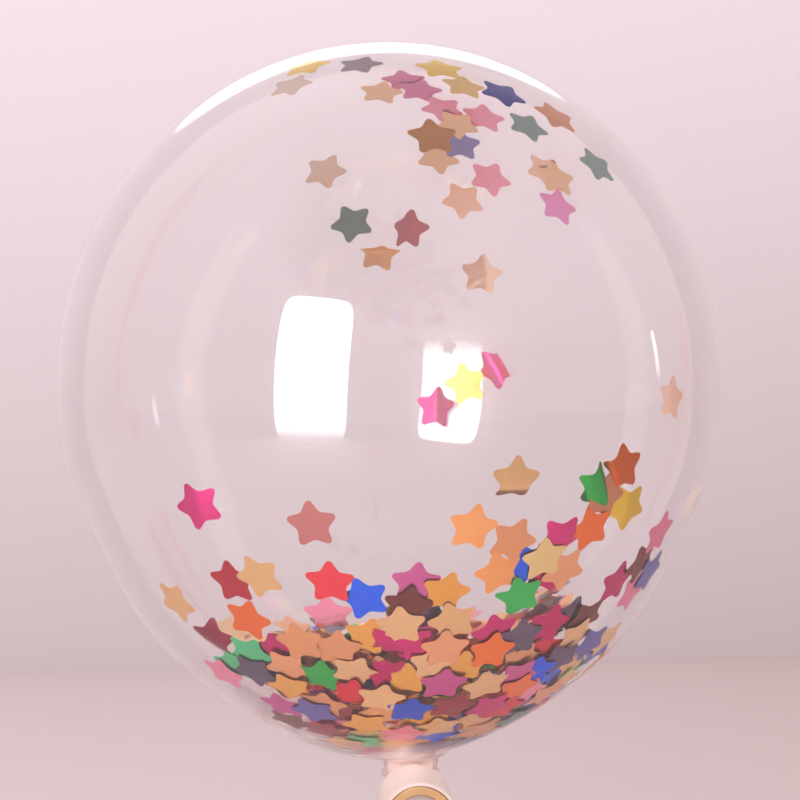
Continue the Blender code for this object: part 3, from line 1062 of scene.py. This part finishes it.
class CONFETTI_OT_make_stars(bpy.types.Operator):
    """Lays the foil stars on the inside of the skin and in the pile"""

    bl_idname = "confetti.make_stars"
    bl_label = "Make Confetti"

    def execute(self, context):
        scene = context.scene
        balloon, sizes, stage = scene.balloon_sizes, scene.confetti_sizes, scene.stage_sizes
        guide, tree, inwards, faces = wall_guide(balloon)
        _, right, up, _ = camera_axes(stage, balloon)
        rng = random.Random(sizes.seed)
        radius = sizes.star_width / 2
        floor = LOWEST_FOILS * sizes.foil_thickness
        laid = []
        for group in (NEAR_STARS, PILE_STARS, FAR_STARS):
            for plan in group:
                far = group is FAR_STARS
                spot, index = spot_on_wall(tree, stage, balloon, plan["across"], plan["down"], far)
                inward = Vector(inwards[faces[index][0]])
                new = LaidStar(plan, spot, inward, up, right)
                new.fine = group is not PILE_STARS
                settle(new, laid, radius, sizes.layer_gap, floor)
                laid.append(new)
        names = list(PILE_MIX)
        weights = list(PILE_MIX.values())

        def pick():
            return rng.choices(names, weights)[0]

        fill_gaps(rng, laid, pick, tree, stage, balloon, sizes, inwards, faces, (up, right))
        loose = near_pile_spots(rng, tree, stage, balloon, sizes.spacing)
        loose += far_pile_spots(rng, tree, stage, balloon, sizes.pile_stars)
        loose.sort(key=lambda item: item[0].z + rng.uniform(0, FALL_STRAY))
        for spot, index in loose:
            inward = Vector(inwards[faces[index][0]])
            plan = star(pick(), 0, 0, rng.uniform(-STAR_STEP, STAR_STEP))
            if rng.random() < CURL_CHANCE:
                plan["curl"] = (rng.uniform(0, 360), rng.uniform(*CURL_RADII))
            new = LaidStar(plan, spot, inward, up, right)
            new.fine = False
            settle(new, laid, radius, sizes.layer_gap, floor)
            laid.append(new)
        for item in laid:
            if item.tone is None:
                item.tone = rng.uniform(0.0, DARKEST_LOOSE)

        wall = new_object("wall_guide", guide)
        patterns = {
            True: new_object("star_fine", star_mesh("star_fine", 5, 3, grid=0.13)),
            False: new_object("star_plain", star_mesh("star_plain", 4, 2)),
        }
        group = confetti_tree()
        for foil, tones in FOILS.items():
            material = foil_material(foil, tones)
            pieces = []
            for fine, pattern in patterns.items():
                chosen = [item for item in laid if item.foil == foil and item.fine == fine]
                if chosen:
                    pieces.append(self.lay(context, group, chosen, pattern, wall, material, sizes))
            if not pieces:
                continue
            mesh = bmesh.new()
            for piece in pieces:
                mesh.from_mesh(piece)
            data = bpy.data.meshes.new(f"confetti_{foil}")
            mesh.to_mesh(data)
            mesh.free()
            data.materials.append(material)
            piece = new_object(f"confetti_{foil}", data)
            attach(piece, BODY)
        for helper in (wall, *patterns.values()):
            bpy.data.objects.remove(helper, do_unlink=True)
        return {"FINISHED"}

    def lay(self, context, group, chosen, pattern, wall, material, sizes):
        """Runs the node tree on the points of one foil, and returns its plain mesh."""
        points = bpy.data.meshes.new("foil_points")
        points.from_pydata([item.spot for item in chosen], [], [])
        kept = {
            "centre": [item.spot for item in chosen],
            "across": [item.across for item in chosen],
            "along": [item.along for item in chosen],
            "lay": [item.lay for item in chosen],
            "shape": [item.shape for item in chosen],
            "fold_axis": [(*item.axis, item.side) for item in chosen],
        }
        for name, values in kept.items():
            layer = points.attributes.new(name, "FLOAT_VECTOR", "POINT")
            for index, value in enumerate(values):
                layer.data[index].vector = value
        tones = points.attributes.new("tone", "FLOAT", "POINT")
        for index, item in enumerate(chosen):
            tones.data[index].value = item.tone
        holder = new_object("foil_points", points)
        modifier = holder.modifiers.new("Lay foil stars", "NODES")
        modifier.node_group = group
        inputs = {item.name: item.identifier for item in group.interface.items_tree if item.in_out == "INPUT"}
        modifier[inputs["Star"]] = pattern
        modifier[inputs["Wall"]] = wall
        modifier[inputs["Star Width"]] = sizes.star_width
        modifier[inputs["Foil Thickness"]] = sizes.foil_thickness
        modifier[inputs["Foil"]] = material
        shown = holder.evaluated_get(context.evaluated_depsgraph_get())
        data = bpy.data.meshes.new_from_object(shown)
        bpy.data.objects.remove(holder, do_unlink=True)
        if not data.polygons:
            raise RuntimeError("the node tree laid no stars")
        return data


def moulded_material(name, code, roughness, grain):
    """Injection-moulded ABS: smooth and evenly coloured, with a faint orange-peel skin and a
    slight drift in tone from the mould."""
    material, tree, shader = new_material(name)
    place = add_node(tree, "ShaderNodeTexCoord")
    # Tone drifts over about 25 mm.
    main = linear(code)
    darker = tuple(value * 0.90 for value in main[:3]) + (1.0,)
    drift = mixed_colour(tree, noise(tree, place, 40.0, 3.0), main, darker)
    tree.links.new(drift, shader.inputs["Base Color"])
    # Orange peel: bumps about half a millimetre apart.
    bumped(tree, shader, noise(tree, place, grain, 2.0), 0.12, 0.0002)
    shader.inputs["Roughness"].default_value = roughness
    shader.inputs["IOR"].default_value = 1.5
    return material


def brass_material(name, code):
    """Lacquered brass, turned: fine circles from the tool under a clear amber lacquer."""
    material, tree, shader = new_material(name)
    place = add_node(tree, "ShaderNodeTexCoord")
    on_axis = {"Vector": place.outputs["Object"], "Location": (0.0, 0.0, -port_height())}
    centred = add_node(tree, "ShaderNodeMapping", on_axis)
    # Tool marks about half a millimetre apart round the port's axis.
    rings = add_node(
        tree,
        "ShaderNodeTexWave",
        {"Vector": centred.outputs[0], "Scale": 640.0, "Distortion": 0.6, "Detail": 1.0},
        wave_type="RINGS",
        rings_direction="Y",
    )
    bumped(tree, shader, rings.outputs["Fac"], 0.12, 0.0001)
    main = linear(code)
    darker = tuple(value * 0.82 for value in main[:3]) + (1.0,)
    drift = mixed_colour(tree, noise(tree, place, 120.0, 2.0), main, darker)
    tree.links.new(drift, shader.inputs["Base Color"])
    shader.inputs["Metallic"].default_value = 0.55
    shader.inputs["Roughness"].default_value = 0.34
    return material


def port_height():
    """The height of the port's axis, which is the middle of its ring."""
    return (RING_LOW.z + RING_HIGH.z) / 2


def turned_piece(name, profile, material, sides=128, looped=False, front=False):
    """A turned piece as a finished mesh."""
    mesh = bmesh.new()
    turned_rings(mesh, profile, sides, looped)
    if front:
        for vertex in mesh.verts:
            x, y, z = vertex.co
            vertex.co = Vector((x, -z, y + port_height()))
    return finish_mesh(mesh, name, material)


def turned_object(name, profile, material, **how):
    """A turned piece as an object."""
    return new_object(name, turned_piece(name, profile, material, **how))


def cut_or_join(target, tool, operation):
    """Applies one exact Boolean to a mesh object and removes the helper."""
    modifier = target.modifiers.new("boolean", "BOOLEAN")
    modifier.operation = operation
    modifier.solver = "EXACT"
    modifier.object = tool
    shown = target.evaluated_get(bpy.context.evaluated_depsgraph_get())
    data = bpy.data.meshes.new_from_object(shown)
    target.modifiers.remove(modifier)
    target.data = data
    bpy.data.objects.remove(tool, do_unlink=True)


class HOLDER_OT_make_tee(bpy.types.Operator):
    """Makes the moulded pipe tee with its port, nozzle and collar"""

    bl_idname = "holder.make_tee"
    bl_label = "Make Pipe Tee"

    def execute(self, context):
        sizes = context.scene.holder_sizes
        material = moulded_material("abs_cream_moulded", sizes.cream_hex, 0.38, 1800.0)
        edge = 0.0006
        port = sizes.port_diameter / 2
        nozzle = sizes.nozzle_diameter / 2
        axis = port_height()
        collar = 0.0136
        collar_top = TEE_LOW.z + 0.018
        barrel = 0.011
        barrel_top = axis + 0.0127
        profile = arc(collar - edge, TEE_LOW.z + edge, edge, -90, 0)
        profile += arc(collar - edge, collar_top - edge, edge, 0, 90)
        profile += [(barrel, collar_top)]
        profile += arc(barrel - edge, barrel_top - edge, edge, 0, 90)
        profile += [(nozzle, barrel_top)]
        profile += arc(nozzle - edge, TEE_HIGH.z - edge, edge, 0, 90)
        tee = turned_object("moulded_tee", profile, material, sides=96)

        face = -TEE_LOW.y
        rear = 0.0145
        round_rear = 0.003
        stub = 0.0072
        profile = [(stub, 0.0), (stub, rear)]
        profile += arc(port - round_rear, rear + round_rear, round_rear, -90, 0, steps=8)
        # The front edge rolls round to the ring, with no flat rim.
        front_round = 0.0013
        profile += arc(port - front_round, face - front_round, front_round, 0, 90, steps=8)
        cut_or_join(tee, turned_object("join", profile, material, sides=132, front=True), "UNION")

        bore = 0.0055
        socket = 0.0103
        socket_top = TEE_LOW.z + 0.014
        past = 0.003
        profile = [(socket, TEE_LOW.z - past), (socket, socket_top)]
        profile += [(bore, socket_top), (bore, TEE_HIGH.z + past)]
        cut_or_join(tee, turned_object("cut", profile, material, sides=72), "DIFFERENCE")

        seat = face - 0.0043
        plug_end = face - 0.0113
        way_through = 0.0035
        plug_bore = 0.0117
        ring_bore = 0.0158
        profile = [(way_through, 0.0), (way_through, plug_end), (plug_bore, plug_end)]
        profile += [(plug_bore, seat), (ring_bore, seat), (ring_bore, face + past)]
        cut_or_join(tee, turned_object("cut", profile, material, sides=120, front=True), "DIFFERENCE")
        mesh = bmesh.new()
        mesh.from_mesh(tee.data)
        bmesh.ops.remove_doubles(mesh, verts=mesh.verts, dist=1e-6)
        tee.data = finish_mesh(mesh, "moulded_tee", material, sharp=30)
        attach(tee, BODY)
        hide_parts("holder_tee")
        return {"FINISHED"}


class HOLDER_OT_make_ring_and_plug(bpy.types.Operator):
    """Makes the amber ring and the grey plug that close the port"""

    bl_idname = "holder.make_ring_and_plug"
    bl_label = "Make Ring and Plug"

    def execute(self, context):
        sizes = context.scene.holder_sizes
        face = -RING_LOW.y
        back = -RING_HIGH.y
        outer = (RING_HIGH.x - RING_LOW.x) / 2
        inner = 0.0117
        edge = 0.0005
        profile = [(inner, back), (outer, back)]
        profile += arc(outer - edge, face - edge, edge, 0, 90)
        profile += arc(inner + edge, face - edge, edge, 90, 180)
        brass = brass_material("brass_lacquered_amber", sizes.amber_hex)
        ring = turned_object("amber_ring", profile, brass, looped=True, front=True)
        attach(ring, BODY)
        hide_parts("port_ring")

        plug_face = -PLUG_LOW.y
        plug_back = -PLUG_HIGH.y
        radius = (PLUG_HIGH.x - PLUG_LOW.x) / 2
        edge = 0.0006
        profile = [(radius, plug_back)]
        profile += arc(radius - edge, plug_face - edge, edge, 0, 90)
        profile += [(0.0, plug_face)]
        grey = moulded_material("abs_grey_moulded", sizes.grey_hex, 0.45, 2200.0)
        plug = turned_object("grey_plug", profile, grey, front=True)
        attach(plug, BODY)
        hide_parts("port_plug")
        return {"FINISHED"}


class HOLDER_OT_make_stand(bpy.types.Operator):
    """Makes the plain stem and the round foot"""

    bl_idname = "holder.make_stand"
    bl_label = "Make Stand"

    def execute(self, context):
        sizes = context.scene.holder_sizes
        rod = moulded_material("abs_cream_rod", sizes.cream_hex, 0.36, 1800.0)
        radius = (STEM_HIGH.x - STEM_LOW.x) / 2
        profile = [(radius, STEM_LOW.z), (radius, STEM_HIGH.z)]
        stem = turned_object("plain_stem", profile, rod, sides=96)
        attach(stem, BODY)
        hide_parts("stand_stem")

        cream = moulded_material("abs_cream_foot", sizes.cream_hex, 0.42, 1500.0)
        edge = 0.003
        rim = (FOOT_HIGH.x - FOOT_LOW.x) / 2 - edge
        boss = 0.017
        boss_edge = 0.0015
        socket = 0.0103
        thickness = 0.012
        profile = arc(rim, edge, edge, -90, 0)
        profile += arc(rim, thickness - edge, edge, 0, 90)
        profile += [(boss, thickness)]
        profile += arc(boss - boss_edge, FOOT_HIGH.z - boss_edge, boss_edge, 0, 90)
        socket_floor = 0.004
        profile += [(socket, FOOT_HIGH.z), (socket, socket_floor)]
        foot = turned_object("round_foot", profile, cream, sides=192)
        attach(foot, BODY)
        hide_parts("stand_foot")
        return {"FINISHED"}


def painted_shade_material(name, codes, axis, low, high):
    """A painted board, seen from its front only: its tone changes slowly along one axis, as painted shade
    that is darker where the board gets less light.
    """
    material, tree, shader = new_material(name)
    place = add_node(tree, "ShaderNodeTexCoord")
    split = add_node(tree, "ShaderNodeSeparateXYZ", {0: place.outputs["Object"]})
    share = add_node(tree, "ShaderNodeMapRange", {0: split.outputs[axis], 1: low, 2: high}).outputs[0]
    tree.links.new(mixed_colour(tree, share, linear(codes[0]), linear(codes[1])), shader.inputs["Base Color"])
    shader.inputs["Roughness"].default_value = 0.8
    clear = add_node(tree, "ShaderNodeBsdfTransparent")
    which = add_node(tree, "ShaderNodeNewGeometry")
    mix = add_node(
        tree,
        "ShaderNodeMixShader",
        {0: which.outputs["Backfacing"], 1: shader.outputs[0], 2: clear.outputs[0]},
    )
    output = next(node for node in tree.nodes if node.type == "OUTPUT_MATERIAL")
    tree.links.new(mix.outputs[0], output.inputs["Surface"])
    return material


def sheet(name, corners, material):
    """One flat sheet of the stage."""
    data = bpy.data.meshes.new(name)
    data.from_pydata(corners, [], [tuple(range(len(corners)))])
    data.materials.append(material)
    obj = new_object(name, data)
    return obj


def all_but(name, pieces):
    """A list for a light that lights everything but these pieces."""
    receivers = bpy.data.collections.new(name)
    for piece in pieces:
        receivers.objects.link(bpy.data.objects[piece])
    for link in receivers.collection_objects:
        link.light_linking.link_state = "EXCLUDE"
    return receivers


def softbox(name, middle, place, size, brightness, receivers=None, fade=None, corner=8.0):
    """A soft light aimed at the balloon, as bright as asked from edge to edge. place is how far
    round to the left of the front it stands and how far over the horizontal, in degrees, and how
    far off, and size its width and height. With receivers, it lights only them. fade gives the
    shares of its height between which it comes up from dark, and then corner rounds it: 8 gives
    a box with rounded corners, and 2 an ellipse."""
    across, above, distance = place
    width, height = size
    lamp = bpy.data.lights.new(name, "AREA")
    lamp.shape = "RECTANGLE"
    lamp.size = width
    lamp.size_y = height
    lamp.energy = brightness * math.pi * width * height
    side, rise = math.radians(across), math.radians(above)
    way = Vector((-math.sin(side) * math.cos(rise), -math.cos(side) * math.cos(rise), math.sin(rise)))
    obj = bpy.data.objects.new(name, lamp)
    bpy.context.scene.collection.objects.link(obj)
    obj.location = middle + way * distance
    obj.rotation_euler = way.to_track_quat("Z", "Y").to_euler()
    obj.visible_camera = False
    if receivers:
        obj.light_linking.receiver_collection = receivers
    if fade:
        lamp.use_nodes = True
        tree = lamp.node_tree
        shine = next(node for node in tree.nodes if node.type == "EMISSION")
        where = add_node(tree, "ShaderNodeNewGeometry")
        split = add_node(tree, "ShaderNodeSeparateXYZ", {0: where.outputs["Parametric"]})
        # Rounded corners: where the powers of both ways add up to 1, the box ends.
        powers = []
        for part in split.outputs[:2]:
            off = math_node(tree, "MULTIPLY_ADD", part, 2.0, -1.0)
            powers.append(math_node(tree, "POWER", off, corner))
        reach = math_node(tree, "ADD", *powers)
        shown = []
        for value, dark, bright in ((split.outputs[1], *fade), (reach, 1.05, 0.8)):
            limits = {0: value, 1: dark, 2: bright}
            ramp = add_node(tree, "ShaderNodeMapRange", limits, interpolation_type="SMOOTHSTEP")
            shown.append(ramp.outputs[0])
        tree.links.new(math_node(tree, "MULTIPLY", *shown), shine.inputs["Strength"])
    return obj


# How bright the white surroundings are, next to a white that fills the picture's range.
WORLD_BRIGHTNESS = 0.62


class STAGE_OT_make_stage(bpy.types.Operator):
    """Makes the plain floor and wall, the soft lights and the camera"""

    bl_idname = "stage.make_stage"
    bl_label = "Make Stage"

    def execute(self, context):
        scene = context.scene
        stage, balloon = scene.stage_sizes, scene.balloon_sizes
        middle = Vector((-balloon.lean, 0.0, widest_level(balloon)))
        far = stage.wall_distance
        # The wall's blend from its foot to its top is painted shade: it is drawn darker towards the floor.
        wall_shaded_paint = painted_shade_material("backdrop_painted_shade", (stage.wall_foot_shade_hex, stage.wall_hex), 2, 0.0, 0.5)
        # The table's blend from left to right is painted shade: it is drawn darker and pinker towards the
        # right.
        floor_codes = (stage.floor_hex, stage.floor_right_shade_hex)
        floor_shaded_paint = painted_shade_material("table_painted_shade", floor_codes, 0, -0.3, 0.3)
        side, below, top = 3, -0.2, 3.2
        wall = [(-side, far, below), (side, far, below), (side, far, top), (-side, far, top)]
        sheet("stage_wall", wall, wall_shaded_paint)
        floor = [(-side, -side, 0), (side, -side, 0), (side, far, 0), (-side, far, 0)]
        sheet("stage_floor", floor, floor_shaded_paint)

        world = bpy.data.worlds.new("studio")
        world.use_nodes = True
        shine = next(node for node in world.node_tree.nodes if node.type == "BACKGROUND")
        shine.inputs["Color"].default_value = linear("FFFFFF")
        shine.inputs["Strength"].default_value = WORLD_BRIGHTNESS
        scene.world = world

        skin = bpy.data.collections.new("skin_only")
        skin.objects.link(bpy.data.objects["clear_latex_skin"])
        holder_pieces = ("moulded_tee", "amber_ring", "grey_plug", "plain_stem")
        others = all_but("all_but_skin", ("clear_latex_skin",))
        confetti = all_but("all_but_skin_and_holder", ("clear_latex_skin",) + holder_pieces)
        softbox("key_softbox", middle, (29.3, 15.5, 1.6), (0.77, 1.46), 3.4, confetti)
        above = softbox("top_softbox", middle, (-20, 72, 1.5), (1.2, 1.2), 1.6, others)
        above.visible_glossy = False
        softbox("front_fill", middle, (6, -5, 0.6), (0.5, 0.16), 3.4, confetti)
        holder = bpy.data.collections.new("holder_only")
        for piece in holder_pieces:
            holder.objects.link(bpy.data.objects[piece])
        over = softbox("holder_softbox", middle, (10, 60, 1.3), (1.0, 1.0), 5.2, holder)
        over.light_linking.blocker_collection = holder
        # The lights that show in the skin alone, in the order of softbox's own values.
        for name, place, size, brightness, fade, corner in (
            ("key_in_skin", (29.3, 10.2, 1.6), (0.68, 1.27), 12.0, (0.0, 0.2), 8.0),
            ("crown_in_skin", (180.5, 29, 0.77), (0.68, 0.31), 3.6, (-0.2, -0.1), 2.0),
            ("strip_in_skin", (-95, 4, 1.5), (0.05, 0.29), 5.0, (0.0, 0.5), 8.0),
        ):
            lamp = softbox(name, middle, place, size, brightness, skin, fade, corner)
            lamp.visible_diffuse = False
            lamp.visible_transmission = False

        eye, right, up, forward = camera_axes(stage, balloon)
        lens = bpy.data.cameras.new("camera")
        lens.lens = stage.lens
        lens.sensor_width = 36
        lens.clip_end = 20
        camera = bpy.data.objects.new("camera", lens)
        scene.collection.objects.link(camera)
        camera.location = eye
        camera.rotation_euler = (-forward).to_track_quat("Z", "Y").to_euler()
        scene.camera = camera
        scene.view_settings.view_transform = "Standard"
        return {"FINISHED"}


class VIEW3D_PT_confetti_balloon(bpy.types.Panel):
    """Lists the steps that make the balloon"""

    bl_label = "Confetti Balloon"
    bl_idname = "VIEW3D_PT_confetti_balloon"
    bl_space_type = "VIEW_3D"
    bl_region_type = "UI"
    bl_category = "Balloon"

    def draw(self, context):
        layout = self.layout
        for settings, steps in STEPS:
            box = layout.box()
            group = getattr(context.scene, settings)
            for name in group.bl_rna.properties.keys():
                if name not in ("rna_type", "name"):
                    box.prop(group, name)
            for step in steps:
                box.operator(step)


STEPS = (
    ("balloon_sizes", ("balloon.make_skin",)),
    ("confetti_sizes", ("confetti.make_stars",)),
    ("holder_sizes", ("holder.make_tee", "holder.make_ring_and_plug", "holder.make_stand")),
    ("stage_sizes", ("stage.make_stage",)),
)

GROUPS = {
    "balloon_sizes": BalloonSettings,
    "confetti_sizes": ConfettiSettings,
    "holder_sizes": HolderSettings,
    "stage_sizes": StageSettings,
}

CLASSES = (
    *GROUPS.values(),
    BALLOON_OT_make_skin,
    CONFETTI_OT_make_stars,
    HOLDER_OT_make_tee,
    HOLDER_OT_make_ring_and_plug,
    HOLDER_OT_make_stand,
    STAGE_OT_make_stage,
    VIEW3D_PT_confetti_balloon,
)


def register():
    for item in CLASSES:
        bpy.utils.register_class(item)
    for name, group in GROUPS.items():
        setattr(bpy.types.Scene, name, PointerProperty(type=group))


def unregister():
    for name in GROUPS:
        delattr(bpy.types.Scene, name)
    for item in reversed(CLASSES):
        bpy.utils.unregister_class(item)


def main():
    register()
    bpy.ops.balloon.make_skin()
    bpy.ops.confetti.make_stars()
    bpy.ops.holder.make_tee()
    bpy.ops.holder.make_ring_and_plug()
    bpy.ops.holder.make_stand()
    bpy.ops.stage.make_stage()
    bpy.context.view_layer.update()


if __name__ == "__main__":
    main()
